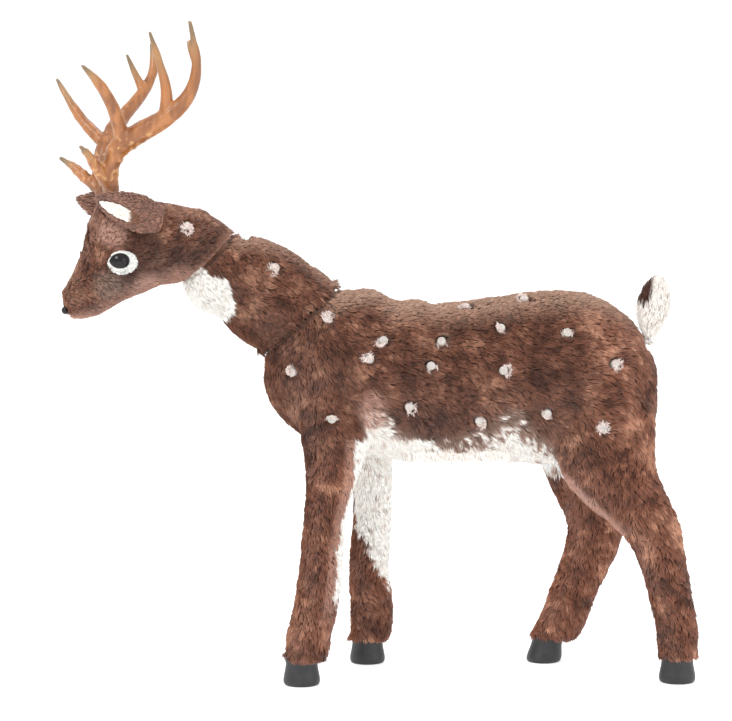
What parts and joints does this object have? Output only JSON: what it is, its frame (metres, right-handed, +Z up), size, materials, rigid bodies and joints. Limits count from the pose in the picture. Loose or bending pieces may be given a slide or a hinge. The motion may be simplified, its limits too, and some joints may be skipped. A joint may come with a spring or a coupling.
{
  "type": "light up yard reindeer",
  "caption": "Standing lit yard buck in spotted faux fur over a steel frame, with swivel neck, turning head, plug-in antlers, bendable tail and belly battery box.",
  "frame": {"origin": "on the ground under the middle of the whole deer's bounding box", "axes": "+Z up, -X towards the nose, -Y towards the deer's left side"},
  "size_m": [0.8908, 0.2417, 0.9045],
  "materials": {
    "fur": "matte",
    "fur_white": "matte",
    "felt": "matte",
    "hoof": "satin",
    "antler": "satin",
    "eye": "gloss",
    "frame_steel": "satin",
    "fasteners": "satin",
    "led_cap": "satin",
    "led_bulb": "gloss",
    "case_plastic": "matte",
    "bushing": "satin",
    "cell": "gloss",
    "board": "satin",
    "wire": "matte"
  },
  "bodies": {
    "torso": {"torso_cover": "fur", "leg_cover_front_left": "fur", "leg_cover_front_right": "fur", "leg_cover_rear_left": "fur", "leg_cover_rear_right": "fur", "hoof_front_left": "hoof", "hoof_front_right": "hoof", "hoof_rear_left": "hoof", "hoof_rear_right": "hoof", "leg_tube_front_left": "frame_steel", "leg_tube_front_right": "frame_steel", "leg_tube_rear_left": "frame_steel", "leg_tube_rear_right": "frame_steel", "spine_tube": "frame_steel", "shoulder_crossbar": "frame_steel", "hip_crossbar": "frame_steel", "leg_lock_screws": "fasteners", "neck_socket": "frame_steel", "neck_bushing": "bushing", "battery_box": "case_plastic", "battery_box_hangers": "frame_steel", "battery_door_hinge_pin": "fasteners", "battery_cells": "cell", "contact_springs": "fasteners", "timer_board": "board", "switch_housing": "case_plastic", "wiring_trunk": "wire", "tail_pin": "fasteners", "led_caps_body": "led_cap", "led_bulbs_body": "led_bulb"},
    "battery_door": {"battery_door": "case_plastic", "door_screw": "fasteners"},
    "power_switch": {"switch_slider": "case_plastic"},
    "tail": {"tail_cover": "fur_white"},
    "neck": {"neck_cover": "fur", "neck_tube": "frame_steel", "neck_keeper": "fasteners", "led_caps_neck": "led_cap", "led_bulbs_neck": "led_bulb", "head_cap_nut": "fasteners"},
    "head": {"head_cover": "fur", "head_frame": "frame_steel", "antler_sockets": "frame_steel", "led_caps_head": "led_cap", "led_bulbs_head": "led_bulb", "nose": "eye", "ear_left": "fur", "ear_right": "fur", "ear_lining_left": "fur_white", "ear_lining_right": "fur_white", "eye_left": "eye", "eye_right": "eye", "eye_rings": "felt", "eye_washers": "fasteners"},
    "antler_left": {"antler_left": "antler"},
    "antler_right": {"antler_right": "antler"}
  },
  "joints": [
    {"name": "neck_swivel", "type": "hinge", "parent": "torso", "child": "neck", "pos_m": [-0.105, 0.028, 0.503], "axis": [-0.6644, 0, 0.7474], "range_deg": [-20, 20]},
    {"name": "head_turn", "type": "hinge", "parent": "neck", "child": "head", "pos_m": [-0.213, 0.028, 0.566], "axis": [0, 0, 1], "range_deg": [-44, 12]},
    {"name": "antler_left_pull", "type": "slide", "parent": "head", "child": "antler_left", "axis": [0, 0, 1], "range_m": [0, 0.06]},
    {"name": "antler_right_pull", "type": "slide", "parent": "head", "child": "antler_right", "axis": [0, 0, 1], "range_m": [0, 0.06]},
    {"name": "tail_bend", "type": "hinge", "parent": "torso", "child": "tail", "pos_m": [0.385, 0.028, 0.474], "axis": [0, 1, 0], "range_deg": [0, 70]},
    {"name": "battery_door_open", "type": "hinge", "parent": "torso", "child": "battery_door", "pos_m": [0.058, 0.028, 0.3125], "axis": [0, 1, 0], "range_deg": [0, 95]},
    {"name": "power_switch_slide", "type": "slide", "parent": "torso", "child": "power_switch", "axis": [1, 0, 0], "range_m": [0, 0.004]}
  ]
}
